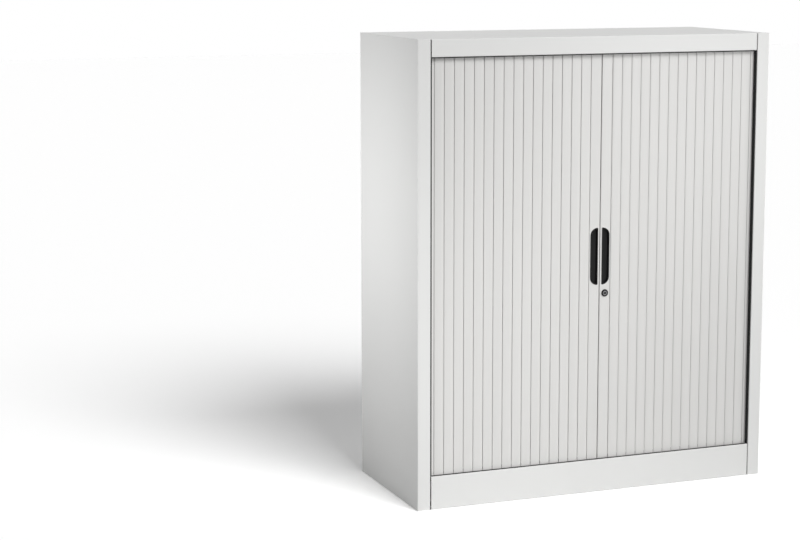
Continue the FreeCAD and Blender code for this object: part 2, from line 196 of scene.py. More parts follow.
# %% Orange peel
def orange_peel_group():
    """Rolling, melted skin of a powder coat, and a slow drift in tone."""
    tree, start, end = new_group(
        "Orange Peel",
        [("Peel Scale", NUMBER, 420.0), ("Peel Depth", NUMBER, 0.00002), ("Drift", NUMBER, 0.02),
         ("Colour", COLOUR, None), ("Roughness", NUMBER, 0.4)],
        [("Colour", COLOUR), ("Roughness", NUMBER), ("Normal", VECTOR)],
    )
    where = object_place(tree)
    peel = noise(tree, where, start.outputs["Peel Scale"], 2.0, Roughness=0.45)
    cloud = noise(tree, where, 3.0, 3.0, Roughness=0.5)
    vary_tone(tree, start, end, cloud)
    vary_roughness(tree, start, end, cloud, 0.12)
    feed(tree, end.inputs["Normal"], bump(tree, peel, start.outputs["Peel Depth"]))
    return tree


orange_peel = orange_peel_group()

# %% Drawn lines
line_stretch = (1.0, 1.0, 0.004)
batch_stretch = (1.0, 1.0, 0.05)


def drawn_lines_group():
    """Fine lines along Z, as an extrusion die leaves them, with a slow drift in tone."""
    tree, start, end = new_group(
        "Drawn Lines",
        [("Line Scale", NUMBER, 900.0), ("Line Depth", NUMBER, 0.000015), ("Drift", NUMBER, 0.02),
         ("Colour", COLOUR, None), ("Roughness", NUMBER, 0.4)],
        [("Colour", COLOUR), ("Roughness", NUMBER), ("Normal", VECTOR)],
    )
    where = object_place(tree)
    along = place(tree, "ShaderNodeMapping", {"Vector": where, "Scale": line_stretch}).outputs[0]
    lines = noise(tree, along, start.outputs["Line Scale"], 3.0, Roughness=0.6)
    relief = calc(tree, "MULTIPLY_ADD", noise(tree, where, 1400.0, 1.0), 0.35, lines)
    batch = place(tree, "ShaderNodeMapping", {"Vector": where, "Scale": batch_stretch}).outputs[0]
    vary_tone(tree, start, end, noise(tree, batch, 26.0, 1.0))
    vary_roughness(tree, start, end, lines, 0.2)
    feed(tree, end.inputs["Normal"], bump(tree, relief, start.outputs["Line Depth"]))
    return tree


drawn_lines = drawn_lines_group()

# %% Edge highlight
def edge_group():
    """A mask that is 1 on sharp edges, where the finishes lighten their colour as a painted highlight."""
    inputs = [("Radius", NUMBER, 0.0012), ("Gain", NUMBER, 2.5)]
    tree, start, end = new_group("Edges", inputs, [("Mask", NUMBER)])
    rounded = place(tree, "ShaderNodeBevel", {"Radius": start.outputs["Radius"]}, samples=6).outputs["Normal"]
    flat = place(tree, "ShaderNodeNewGeometry").outputs["True Normal"]
    turn = place(tree, "ShaderNodeVectorMath", operation="DOT_PRODUCT")
    feed(tree, turn.inputs[0], rounded)
    feed(tree, turn.inputs[1], flat)
    # The finishes use this mask to paint a highlight along sharp edges.
    opened = calc(tree, "SUBTRACT", 1.0, calc(tree, "ABSOLUTE", turn.outputs["Value"]))
    mask = calc(tree, "MINIMUM", calc(tree, "MULTIPLY", opened, start.outputs["Gain"]), 1.0)
    feed(tree, end.inputs["Mask"], mask)
    return tree


edges = edge_group()

# %% Moulded grain
def moulded_grain_group():
    """The spark-eroded grain of a moulded grip: close, rounded pits."""
    tree, start, end = new_group(
        "Moulded Grain",
        [("Grain Scale", NUMBER, 1500.0), ("Grain Depth", NUMBER, 0.00004), ("Roughness", NUMBER, 0.5)],
        [("Roughness", NUMBER), ("Normal", VECTOR)],
    )
    where = object_place(tree)
    pits = place(tree, "ShaderNodeTexVoronoi", {
        "Vector": where, "Scale": start.outputs["Grain Scale"],
    }, feature="SMOOTH_F1").outputs["Distance"]
    vary_roughness(tree, start, end, noise(tree, where, 60.0, 4.0), 0.25)
    feed(tree, end.inputs["Normal"], bump(tree, pits, start.outputs["Grain Depth"]))
    return tree


moulded_grain = moulded_grain_group()

# %% Zinc crystals
def zinc_group():
    """Flat crystals of a zinc coat, each a little lighter or darker and rougher than the next."""
    tree, start, end = new_group(
        "Zinc Crystals",
        [("Crystal Scale", NUMBER, 160.0), ("Light", COLOUR, None), ("Dark", COLOUR, None),
         ("Roughness", NUMBER, 0.4)],
        [("Colour", COLOUR), ("Roughness", NUMBER), ("Normal", VECTOR)],
    )
    where = object_place(tree)
    crystals = place(tree, "ShaderNodeTexVoronoi", {"Vector": where, "Scale": start.outputs["Crystal Scale"]})
    shade = place(tree, "ShaderNodeSeparateColor", {"Color": crystals.outputs["Color"]}).outputs[0]
    feed(tree, end.inputs["Colour"], blend_colour(tree, shade, start.outputs["Light"], start.outputs["Dark"]))
    vary_roughness(tree, start, end, shade, 0.18)
    feed(tree, end.inputs["Normal"], bump(tree, noise(tree, where, 900.0, 2.0), 0.00001))
    return tree


zinc_crystals = zinc_group()

# %% Turned rings
def turned_rings_group():
    """Rings that a lathe leaves round an axis along Y, placed by a Mapping node outside the group."""
    tree, start, end = new_group(
        "Turned Rings",
        [("Vector", VECTOR, None), ("Ring Pitch", NUMBER, 0.0004), ("Ring Depth", NUMBER, 0.00001),
         ("Roughness", NUMBER, 0.3)],
        [("Roughness", NUMBER), ("Normal", VECTOR)],
    )
    split = place(tree, "ShaderNodeSeparateXYZ", {"Vector": start.outputs["Vector"]})
    across = calc(tree, "MULTIPLY", split.outputs["X"], split.outputs["X"])
    up = calc(tree, "MULTIPLY", split.outputs["Z"], split.outputs["Z"])
    radius = calc(tree, "SQRT", calc(tree, "ADD", across, up))
    turns = calc(tree, "DIVIDE", radius, start.outputs["Ring Pitch"])
    rings = place(tree, "ShaderNodeTexNoise", {
        "W": turns, "Scale": 1.0, "Detail": 3.0,
    }, noise_dimensions="1D").outputs["Fac"]
    vary_roughness(tree, start, end, rings, 0.3)
    feed(tree, end.inputs["Normal"], bump(tree, rings, start.outputs["Ring Depth"]))
    return tree


turned_rings = turned_rings_group()
print("shader groups", [g.name for g in bpy.data.node_groups])

# %% [markdown]
# ## Finishes
#
# Every finish is one Principled BSDF. What changes over the surface comes from the groups, and what is the
# same everywhere, such as the specular level, is written into the shader's own socket.

# %% Material helpers
def new_finish(name, **plain):
    """A material with one Principled BSDF, its plain sockets written directly."""
    material = bpy.data.materials.new(name)
    material.use_nodes = True
    tree = material.node_tree
    shader = tree.nodes["Principled BSDF"]
    for label, value in plain.items():
        shader.inputs[label.replace("_", " ")].default_value = value
    return material, tree, shader


def use_group(tree, group, **values):
    """A group node in a material. Underscores in a name stand for spaces."""
    node = tree.nodes.new("ShaderNodeGroup")
    node.node_tree = group
    for label, value in values.items():
        feed(tree, node.inputs[label.replace("_", " ")], value)
    return node


def put_on(tree, shader, colour, skin):
    """Gives the shader a colour, and the roughness and the normal that a group puts out."""
    feed(tree, shader.inputs["Base Color"], colour)
    feed(tree, shader.inputs["Roughness"], skin.outputs["Roughness"])
    feed(tree, shader.inputs["Normal"], skin.outputs["Normal"])


# %% Powder-coated steel
coat_grey = (0.815, 0.817, 0.806, 1.0)
# Lighter grey that sharp edges take: a painted highlight.
coat_edge_highlight = (0.88, 0.88, 0.87, 1.0)


def powder_coat():
    """Light grey satin powder coat on the case."""
    material, tree, shader = new_finish("powder_coated_steel", Specular_IOR_Level=0.45)
    skin = use_group(tree, orange_peel, Peel_Scale=430.0, Peel_Depth=0.00003, Drift=0.03,
                     Colour=coat_grey, Roughness=0.42)
    rim = use_group(tree, edges, Radius=0.0010, Gain=1.6)
    # Sharp edges take a lighter colour: a painted highlight.
    colour = blend_colour(tree, rim.outputs["Mask"], skin.outputs["Colour"], coat_edge_highlight)
    put_on(tree, shader, colour, skin)
    return material


# %% Slat plastic
slat_grey = (0.745, 0.740, 0.725, 1.0)


def slat_finish():
    """Light grey extruded plastic, a touch warmer and smoother than the coat."""
    material, tree, shader = new_finish("extruded_slat_plastic", Specular_IOR_Level=0.5)
    skin = use_group(tree, drawn_lines, Line_Scale=800.0, Line_Depth=0.00001, Drift=0.05,
                     Colour=slat_grey, Roughness=0.36)
    put_on(tree, shader, skin.outputs["Colour"], skin)
    return material


# %% Black plastics
track_black = (0.016, 0.0165, 0.017, 1.0)
grip_black, grip_edge_highlight = (0.008, 0.0082, 0.0082, 1.0), (0.022, 0.0225, 0.0225, 1.0)
foot_black, foot_edge_highlight = (0.022, 0.022, 0.023, 1.0), (0.06, 0.06, 0.06, 1.0)


def track_finish():
    """Dark grey extruded plastic of the tracks and edge strips, dry and matt."""
    material, tree, shader = new_finish("track_plastic", Specular_IOR_Level=0.12)
    skin = use_group(tree, drawn_lines, Line_Scale=500.0, Line_Depth=0.00002, Drift=0.2,
                     Colour=track_black, Roughness=0.55)
    put_on(tree, shader, skin.outputs["Colour"], skin)
    return material


def grip_finish():
    """Black moulded plastic with a fine grain, its edges lightened as a painted highlight."""
    material, tree, shader = new_finish("grip_plastic", Specular_IOR_Level=0.2)
    grain = use_group(tree, moulded_grain, Grain_Scale=1700.0, Grain_Depth=0.00003, Roughness=0.5)
    rim = use_group(tree, edges, Radius=0.0012, Gain=2.0)
    # Sharp edges take a lighter black: a painted highlight.
    colour = blend_colour(tree, rim.outputs["Mask"], grip_black, grip_edge_highlight)
    put_on(tree, shader, colour, grain)
    return material


def foot_finish():
    """Black plastic of the foot pads, coarser than the grips."""
    material, tree, shader = new_finish("foot_pad_plastic", Specular_IOR_Level=0.4)
    grain = use_group(tree, moulded_grain, Grain_Scale=900.0, Grain_Depth=0.00006, Roughness=0.6)
    rim = use_group(tree, edges, Radius=0.0015, Gain=2.0)
    # Sharp edges take a lighter black: a painted highlight.
    colour = blend_colour(tree, rim.outputs["Mask"], foot_black, foot_edge_highlight)
    put_on(tree, shader, colour, grain)
    return material


# %% Metals
zinc_light, zinc_dark = (0.70, 0.71, 0.72, 1.0), (0.52, 0.53, 0.55, 1.0)
barrel_nickel = (0.030, 0.030, 0.031, 1.0)
plug_nickel = (0.24, 0.24, 0.245, 1.0)
plug_middle = (3.4 * mm, (0.03, 0.03, 0.031, 1.0))
# How much lighter the nickel is on sharp edges: a painted highlight.
edge_highlight_gain = 1.7
off_axis = (1.0, 0.0, 1.0)


def zinc_finish():
    """Zinc-plated steel of the clips, the cam, the strike plate and the studs."""
    material, tree, shader = new_finish("zinc_plated_steel", Metallic=1.0)
    skin = use_group(tree, zinc_crystals, Crystal_Scale=240.0, Light=zinc_light,
                     Dark=zinc_dark, Roughness=0.38)
    put_on(tree, shader, skin.outputs["Colour"], skin)
    return material


def turned_metal(name, colour, roughness, centre, middle=None):
    """A turned and plated face, its rings round the lock's axis. Middle is (radius, colour) of a dark disc."""
    material, tree, shader = new_finish(name, Metallic=1.0)
    moved = place(tree, "ShaderNodeMapping", {
        "Vector": object_place(tree), "Location": tuple(-c for c in centre),
    }).outputs[0]
    rings = use_group(tree, turned_rings, Vector=moved, Ring_Pitch=0.00035, Ring_Depth=0.00001,
                      Roughness=roughness)
    rim = use_group(tree, edges, Radius=0.0005, Gain=2.0)
    # Sharp edges of the nickel are lightened: a painted highlight.
    bright = tuple(min(1.0, c * edge_highlight_gain) for c in colour[:3]) + (1.0,)
    plated = blend_colour(tree, rim.outputs["Mask"], colour, bright)
    if middle:
        flat = place(tree, "ShaderNodeVectorMath", operation="MULTIPLY")
        feed(tree, flat.inputs[0], moved)
        flat.inputs[1].default_value = off_axis
        reach = place(tree, "ShaderNodeVectorMath", {"Vector": flat.outputs[0]}, operation="LENGTH")
        inside = calc(tree, "LESS_THAN", reach.outputs["Value"], middle[0])
        plated = blend_colour(tree, inside, plated, middle[1])
    put_on(tree, shader, plated, rings)
    return material


barrel_low, barrel_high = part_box("lock_barrel")
plug_low, plug_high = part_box("lock_plug")
lock_centre = Vector(((barrel_low.x + barrel_high.x) / 2, barrel_low.y, (barrel_low.z + barrel_high.z) / 2))
finishes = {
    "cabinet_steel": powder_coat(),
    "slat_plastic": slat_finish(),
    "track_plastic": track_finish(),
    "grip_plastic": grip_finish(),
    "foot_plastic": foot_finish(),
    "zinc_steel": zinc_finish(),
    "lock_steel": turned_metal("dark_nickel", barrel_nickel, 0.34, lock_centre),
    "plug_steel": turned_metal("bright_nickel", plug_nickel, 0.28, lock_centre, plug_middle),
}

# %% Every CAD node takes the finish of its slot
slot_of = {part["node"]: part["material_slot"] for part in frame["record"]["subparts"]}


def dress(piece, slot):
    """Puts one finish on the whole piece."""
    piece.data.materials.clear()
    piece.data.materials.append(finishes[slot])


for name, node in nodes.items():
    dress(node, slot_of[name])
print("finishes", {slot: sum(s == slot for s in slot_of.values()) for slot in finishes})

# %% [markdown]
# ## Meshes from rings
#
# The grips, the lock and the feet are all closed skins that run over a row of rings. A ring is a list of
# points, each ring has as many points as the next, or only one at a pole, and the first and last are closed by
# a cap. The caller only has to say where the rings lie.

# %% Mesh helpers
merge_distance = 0.001 * mm


def finished_mesh(name, work, smooth_below=40.0):
    """A mesh from a bmesh: doubles merged, faces outwards, and edges sharper than the limit kept crisp."""
    bmesh.ops.remove_doubles(work, verts=work.verts, dist=merge_distance)
    bmesh.ops.recalc_face_normals(work, faces=work.faces)
    mesh = bpy.data.meshes.new(name)
    work.to_mesh(mesh)
    work.free()
    mesh.shade_smooth()
    mesh.set_sharp_from_angle(angle=math.radians(smooth_below))
    return mesh


def skin_over(rings):
    """A bmesh with quads between the rings and a cap on both ends. A ring of one point is a pole."""
    work = bmesh.new()
    rows = [[work.verts.new(point) for point in ring] for ring in rings]
    for row, next_row in zip(rows, rows[1:]):
        count = max(len(row), len(next_row))
        for i in range(count):
            j = (i + 1) % count
            corners = [row[i % len(row)], row[j % len(row)]]
            corners += [next_row[j % len(next_row)], next_row[i % len(next_row)]]
            work.faces.new(list(dict.fromkeys(corners)))
    for row in (rows[0], rows[-1]):
        if len(row) > 2:
            work.faces.new(row)
    return work


def evaluated_mesh(holder, name, smooth_below, tools=()):
    """The holder's mesh with its modifiers applied. The holder and its tools are removed."""
    graph = bpy.context.evaluated_depsgraph_get()
    made = bpy.data.meshes.new_from_object(holder.evaluated_get(graph), depsgraph=graph)
    holder.modifiers.clear()
    for leftover in (*tools, holder):
        bpy.data.objects.remove(leftover)
    work = bmesh.new()
    work.from_mesh(made)
    bpy.data.meshes.remove(made)
    return finished_mesh(name, work, smooth_below)


def cut_away(blank, tools, name, smooth_below):
    """The blank's mesh less what the tools fill."""
    for tool in tools:
        cut = blank.modifiers.new("cut", "BOOLEAN")
        cut.operation, cut.solver, cut.object = "DIFFERENCE", "EXACT", tool
    return evaluated_mesh(blank, name, smooth_below, tools)


def add_piece(name, mesh, body, slot, stands_for=()):
    """A finished piece that rides on a body and stands for CAD nodes."""
    piece = add_object(name, mesh)
    dress(piece, slot)
    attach(piece, body)
    if stands_for:
        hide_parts(*stands_for)
    return piece


def turned(profile, centre, along, segments=64):
    """Rings of a turned part. The profile is (radius, distance along the axis), the axis is Y or Z."""
    across = Vector((1, 0, 0))
    other = along.cross(across)
    rings = []
    for radius, distance in profile:
        if radius == 0:
            rings.append([centre + along * distance])
            continue
        ring = []
        for i in range(segments):
            angle = 2 * math.pi * i / segments
            spoke = across * math.cos(angle) + other * math.sin(angle)
            ring.append(centre + along * distance + spoke * radius)
        rings.append(ring)
    return rings


# %% [markdown]
# ## The slats
#
# A real tambour slat is an extruded plastic strip, slightly crowned, so that each one catches the light on
# one flank and a dark seam shows beside it. The rule is the same for all 33 slats, so a Geometry Nodes tree
# makes them: a circle of points is bent into the section by its index, filled, drawn up to the slat's height
# and set at its place in the row. Each slat slides by itself, so the tree is run once for each slat, with the
# slat's number as an input, and the result becomes a plain mesh that rides on that slat's body. The hooked
# joints of the right curtain are a little slacker than those of the left, so its seams are wider.

# %% Sizes read from the CAD slats
def slat_name(word, number):
    return "%s_slat_%02d" % (word, number)


slat_counts = {
    word: sum(name.startswith(word + "_slat_") for name in nodes) for word in ("left", "right")
}
first_low, first_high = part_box(slat_name("right", 1))
second_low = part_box(slat_name("right", 2))[0]
slat_pitch = second_low.x - first_low.x
slat_width = first_high.x - first_low.x
slat_face = first_low.y
slat_back = first_high.y - slat_face
left_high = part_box(slat_name("left", 1))[1]
meeting_line = (first_low.x + left_high.x) / 2
slat_start = first_low.x - meeting_line
print("slats", slat_counts, "pitch %.1f mm" % (slat_pitch / mm), "meeting line %.1f mm" % (meeting_line / mm))

# %% The slat tree
slat_thin_edge = 0.70 * mm
slat_lip = 1.65 * mm
slat_slack = {"left": -0.25 * mm, "right": 0.4 * mm}
slat_undercut = 3.0 * mm
slat_front_points = 31
slat_flanks = {
    "Inner": {"Drop": 0.72 * mm, "Rounding": 0.85 * mm, "Sharpness": 9.0},
    "Outer": {"Drop": 0.18 * mm, "Rounding": 0.22 * mm, "Sharpness": 10.0},
}


def slat_tree():
    """Makes one slat, or a row of them, from its section."""
    inputs = [
        ("Width", NUMBER, slat_width), ("Pitch", NUMBER, slat_pitch),
        ("Thick Edge", NUMBER, slat_back), ("Thin Edge", NUMBER, slat_thin_edge),
        ("Lip", NUMBER, slat_lip), ("Undercut", NUMBER, slat_undercut),
        ("Height", NUMBER, 1.0), ("Side", NUMBER, 1.0), ("Start", VECTOR, None),
        ("Number", INTEGER, 1), ("Count", INTEGER, 1), ("Finish", MATERIAL, None),
    ]
    for flank, values in slat_flanks.items():
        inputs += [(flank + " " + label, NUMBER, value) for label, value in values.items()]
    tree, start, end = new_group("Curtain Slat", inputs, [("Geometry", GEOMETRY)], "GeometryNodeTree")
    start = start.outputs

    last_front = slat_front_points - 1
    circle = place(tree, "GeometryNodeMeshCircle", {"Vertices": slat_front_points + 4}, fill_type="NGON")
    index = place(tree, "GeometryNodeInputIndex").outputs[0]
    share = calc(tree, "MINIMUM", calc(tree, "DIVIDE", index, float(last_front)), 1.0)
    swing = calc(tree, "COSINE", calc(tree, "MULTIPLY", share, math.pi))
    across = calc(tree, "MULTIPLY", swing, -1.0)
    outer = calc(tree, "GREATER_THAN", across, 0.0)
    inner = calc(tree, "SUBTRACT", 1.0, outer)

    def by_flank(label):
        """The outer flank's value on one half of the slat and the inner one's on the other."""
        near = calc(tree, "MULTIPLY", start["Inner " + label], inner)
        return calc(tree, "MULTIPLY_ADD", start["Outer " + label], outer, near)

    drop, rounding, sharpness = by_flank("Drop"), by_flank("Rounding"), by_flank("Sharpness")
    crown = calc(tree, "MULTIPLY", drop, calc(tree, "MULTIPLY", across, across))
    corner = calc(tree, "POWER", calc(tree, "ABSOLUTE", across), sharpness)
    depth = calc(tree, "ADD", crown, calc(tree, "MULTIPLY", corner, rounding))
    along = calc(tree, "MULTIPLY", calc(tree, "MULTIPLY_ADD", across, 0.5, 0.5), start["Width"])

    fall = calc(tree, "DIVIDE", calc(tree, "SUBTRACT", start["Thick Edge"], start["Thin Edge"]), start["Width"])
    back = calc(tree, "SUBTRACT", start["Thick Edge"], calc(tree, "MULTIPLY", fall, start["Undercut"]))
    is_front = calc(tree, "LESS_THAN", index, last_front + 0.5)
    x, y = calc(tree, "MULTIPLY", along, is_front), calc(tree, "MULTIPLY", depth, is_front)
    corners = [
        (start["Width"], start["Thin Edge"]), (start["Undercut"], back),
        (start["Undercut"], start["Lip"]), (0.0, start["Lip"]),
    ]
    for step, (corner_x, corner_y) in enumerate(corners, 1):
        here = calc(tree, "COMPARE", index, float(last_front + step), 0.1)
        x = calc(tree, "MULTIPLY_ADD", corner_x, here, x)
        y = calc(tree, "MULTIPLY_ADD", corner_y, here, y)
    x = calc(tree, "MULTIPLY", x, start["Side"])
    bent = place(tree, "ShaderNodeCombineXYZ", {"X": x, "Y": y}).outputs[0]
    section = place(tree, "GeometryNodeSetPosition", {
        "Geometry": circle.outputs["Mesh"], "Position": bent,
    }).outputs[0]

    rise = place(tree, "ShaderNodeCombineXYZ", {"Z": start["Height"]}).outputs[0]
    drawn = place(tree, "GeometryNodeExtrudeMesh", {
        "Mesh": section, "Offset": rise, "Offset Scale": 1.0, "Individual": False,
    })
    foot = place(tree, "GeometryNodeFlipFaces", {"Mesh": section}).outputs[0]
    joined = tree.nodes.new("GeometryNodeJoinGeometry")
    tree.links.new(drawn.outputs["Mesh"], joined.inputs[0])
    tree.links.new(foot, joined.inputs[0])
    strip = place(tree, "GeometryNodeMergeByDistance", {
        "Geometry": joined.outputs[0], "Distance": merge_distance,
    }).outputs[0]

    step = calc(tree, "MULTIPLY", start["Pitch"], start["Side"])
    before = calc(tree, "MULTIPLY", calc(tree, "SUBTRACT", start["Number"], 1.0), step)
    first = place(tree, "ShaderNodeVectorMath", operation="ADD")
    feed(tree, first.inputs[0], start["Start"])
    feed(tree, first.inputs[1], place(tree, "ShaderNodeCombineXYZ", {"X": before}).outputs[0])
    row = place(tree, "GeometryNodeMeshLine", {
        "Count": start["Count"], "Start Location": first.outputs[0],
        "Offset": place(tree, "ShaderNodeCombineXYZ", {"X": step}).outputs[0],
    })
    placed = place(tree, "GeometryNodeInstanceOnPoints", {"Points": row.outputs[0], "Instance": strip})
    real = place(tree, "GeometryNodeRealizeInstances", {"Geometry": placed.outputs[0]})
    painted = place(tree, "GeometryNodeSetMaterial", {"Geometry": real.outputs[0], "Material": start["Finish"]})
    tree.links.new(painted.outputs[0], end.inputs[0])
    return tree


def run_tree(tree, name, inputs, smooth_below=40.0):
    """Evaluates a Geometry Nodes tree once and returns the result as a plain mesh."""
    holder = add_object(name + "_holder", bpy.data.meshes.new(name + "_holder"))
    modifier = holder.modifiers.new("tree", "NODES")
    modifier.node_group = tree
    for item in tree.interface.items_tree:
        if item.in_out == "INPUT" and item.name in inputs:
            modifier[item.identifier] = inputs[item.name]
    holder.update_tag()
    return evaluated_mesh(holder, name, smooth_below)


# %% The two curtains
curtain_tree = slat_tree()
for word, side in (("left", -1.0), ("right", 1.0)):
    for number in range(1, slat_counts[word] + 1):
        node_name = slat_name(word, number)
        low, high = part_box(node_name)
        slack = slat_slack[word]
        strip = run_tree(curtain_tree, node_name + "_strip", {
            "Side": side, "Number": number, "Height": high.z - low.z, "Width": slat_width - slack,
            "Start": (meeting_line + side * (slat_start + slack), slat_face, low.z),
            "Finish": finishes["slat_plastic"],
        })
        add_piece(node_name + "_strip", strip, node_name, "slat_plastic", [node_name])
print("made", sum(slat_counts.values()), "slats of", len(strip.polygons), "faces")

# %% [markdown]
# ## Grips
#
# Each grip is a D-shaped black moulding: a thin rim on the slat, a rolled inner edge and a cup for the
# fingertips. The outline is the same at every depth, only drawn in, so the piece is a skin over rings. A large
# arc turns each end of the D, and a small corner closes it beside the meeting line.

# %% The outline of a grip
grip_end_radius = 20.0 * mm
grip_corner = 2.0 * mm
grip_arc_steps = 20
grip_corner_steps = 6


def arc_points(centre, radius, start, stop, steps):
    """Points of an arc in the plane of (across, up), both ends included."""
    points = []
    for i in range(steps + 1):
        angle = math.radians(start + (stop - start) * i / steps)
        points.append((centre[0] + radius * math.cos(angle), centre[1] + radius * math.sin(angle)))
    return points


def grip_outline(near, far, low, high, inset):
    """The D as (across from the meeting line, up), drawn in by inset."""
    centre = far - grip_end_radius
    straight = (high - low) / 2 - grip_end_radius
    radius = grip_end_radius - inset
    across = near + inset + grip_corner - centre
    rise = math.sqrt((radius - grip_corner) ** 2 - across ** 2)
    turn = math.degrees(math.atan2(rise, across))
    end = arc_points((centre, straight), radius, 0, turn, grip_arc_steps)
    end += arc_points((centre + across, straight + rise), grip_corner, turn, 180, grip_corner_steps)[1:]
    middle = (low + high) / 2
    return [(a, middle + up) for a, up in end] + [(a, middle - up) for a, up in reversed(end)]


def grip_ring(outline, side, depth):
    """The outline as a ring of points, this deep behind the slats' faces."""
    return [Vector((meeting_line + side * across, slat_face + depth, up)) for across, up in outline]


# %% Rings of a grip
# Each pair is (inset from the outline, depth behind the slats' faces), in millimetres like the cup's depths
grip_rim_profile = [
    (1.8, 9.4), (1.8, 0.0), (0.0, 0.0), (0.0, -0.5), (0.1, -0.8), (0.32, -1.03), (0.65, -1.15), (1.1, -1.2),
    (1.6, -1.16), (2.0, -1.02), (2.35, -0.75), (2.6, -0.35), (2.75, 0.4), (2.9, 4.0), (3.05, 6.2), (3.2, 6.9),
]
cup_floor_steps = 6
cup_edge_depth = 6.9
cup_middle_depth = 8.2


def grip_mesh(word, side):
    """The skin of one grip, over its outside, its rim, and down into its cup."""
    low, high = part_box(word + "_handle")
    near, far = sorted(abs(x - meeting_line) for x in (low.x, high.x))
    rings = [
        grip_ring(grip_outline(near, far, low.z, high.z, inset * mm), side, depth * mm)
        for inset, depth in grip_rim_profile
    ]
    floor = grip_outline(near, far, low.z, high.z, grip_rim_profile[-1][0] * mm)
    middle = (sum(a for a, up in floor) / len(floor), (low.z + high.z) / 2)
    for step in range(1, cup_floor_steps):
        share = 1 - step / cup_floor_steps
        depth = cup_middle_depth - (cup_middle_depth - cup_edge_depth) * share ** 4
        shrunk = [
            (middle[0] + (a - middle[0]) * share, middle[1] + (up - middle[1]) * share) for a, up in floor
        ]
        rings.append(grip_ring(shrunk, side, depth * mm))
    return finished_mesh(word + "_grip", skin_over(rings), smooth_below=50.0)


for word, side in (("left", -1.0), ("right", 1.0)):
    add_piece(word + "_grip", grip_mesh(word, side), word + "_door", "grip_plastic", [word + "_handle"])

# %% [markdown]
# ## Leading slats
#
# The leading slat of each door is a stiffer bar, flat in front, with rounded long edges and a step behind the
# edge where the two doors meet, so that a dark line stays between them. It needs a real hole for the grip's
# cup, and the right one a hole for the lock. A Boolean modifier cuts them, which is simpler than building the
# faces round a rounded hole by hand.

# %% Bars with holes
lead_edge_radius = 2.0 * mm
lead_edge_steps = 7
lead_lip = 0.5 * mm
lead_undercut = 2.0 * mm
lead_slack = 0.4 * mm
cup_hole_inset = 1.5 * mm
cup_hole_depth = 10.2 * mm
lock_hole_radius = 8.2 * mm
past_face = 2.0 * mm
lock_axis = Vector((0, 1, 0))


def blank(name, rings):
    """A closed mesh object that a Boolean modifier cuts, or cuts with."""
    return add_object(name, finished_mesh(name, skin_over(rings)))


def lead_bar(word, side):
    """The bar of one leading slat, cut for the grip and the lock."""
    low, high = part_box(word + "_leading_slat")
    r, lip = lead_edge_radius, lead_edge_radius + lead_lip
    width = high.x - low.x - lead_slack
    plan = [(lead_undercut, high.y), (lead_undercut, low.y + lip), (0.0, low.y + lip), (0.0, low.y + r)]
    plan += arc_points((r, low.y + r), r, 180, 270, lead_edge_steps)[1:]
    plan += arc_points((width - r, low.y + r), r, 270, 360, lead_edge_steps)
    plan += [(width, high.y)]
    start = low.x + lead_slack if side > 0 else high.x - lead_slack
    rings = [[Vector((start + side * a, y, z)) for a, y in plan] for z in (low.z, high.z)]
    bar = blank(word + "_lead_bar", rings)
    grip_low, grip_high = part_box(word + "_handle")
    near, far = sorted(abs(x - meeting_line) for x in (grip_low.x, grip_high.x))
    hole = grip_outline(near, far, grip_low.z, grip_high.z, cup_hole_inset)
    rings = [grip_ring(hole, side, depth) for depth in (-past_face, cup_hole_depth)]
    tools = [blank(word + "_cup_hole", rings)]
    if word == "right":
        base = Vector((lock_centre.x, low.y - past_face, lock_centre.z))
        profile = [(lock_hole_radius, 0.0), (lock_hole_radius, high.y - low.y + 2 * past_face)]
        tools.append(blank("lock_hole", turned(profile, base, lock_axis)))
    return cut_away(bar, tools, word + "_lead_bar", smooth_below=30.0)


for word, side in (("left", -1.0), ("right", 1.0)):
    bar_mesh = lead_bar(word, side)
    bar = add_piece(word + "_lead_bar", bar_mesh, word + "_door", "slat_plastic", [word + "_leading_slat"])
    print(bar.name, len(bar.data.polygons), "faces")

# %% [markdown]
# ## Edge strips
#
# A dark plastic strip is clipped over the folded edge of each stile, so that the slats don't rub on steel.
# Between the two tracks it bulges towards the curtain, and beyond them it is thin, because there it has to
# pass through the narrow gap beside rail and plinth. One outline, wide or thin, is drawn at several heights.

# %% Strips
guide_low, guide_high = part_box("edge_guides")
stile_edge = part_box("right_side_panel")[0].x
strip_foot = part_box("bottom_track")[1].z
strip_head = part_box("top_track")[0].z
strip_back = guide_high.y
strip_thin, strip_wide = 1.9 * mm, 4.2 * mm
strip_step = 0.6 * mm
strip_back_corner = 1.1 * mm
strip_front_steps = 8
hook_gap, hook_front, hook_mouth = 1.0 * mm, guide_low.y + 4.0 * mm, guide_low.y + 6.0 * mm


def strip_outline(width, side):
    """Section of a strip: a hook over the steel, and a leg that is thin or wide towards the curtain."""
    r, corner = width / 2, strip_back_corner
    points = [
        (guide_high.x - stile_edge, hook_front), (guide_high.x - stile_edge, guide_high.y),
        (-width + corner, strip_back), (-width + corner * 0.3, strip_back - corner * 0.3),
        (-width, strip_back - corner),
    ]
    points += arc_points((-r, guide_low.y + r), r, -180, 0, strip_front_steps)
    points += [(0.0, hook_mouth), (hook_gap, hook_mouth), (hook_gap, hook_front)]
    return [(side * (stile_edge + x), y) for x, y in points]


def strip_mesh(word, side):
    """One strip from the floor to the roof."""
    stops = [
        (guide_low.z, strip_thin),
        (strip_foot + strip_step, strip_thin), (strip_foot + 2 * strip_step, strip_wide),
        (strip_head - 2 * strip_step, strip_wide), (strip_head - strip_step, strip_thin),
        (guide_high.z, strip_thin),
    ]
    rings = [[Vector((x, y, z)) for x, y in strip_outline(width, side)] for z, width in stops]
    return finished_mesh(word + "_edge_strip", skin_over(rings), smooth_below=35.0)


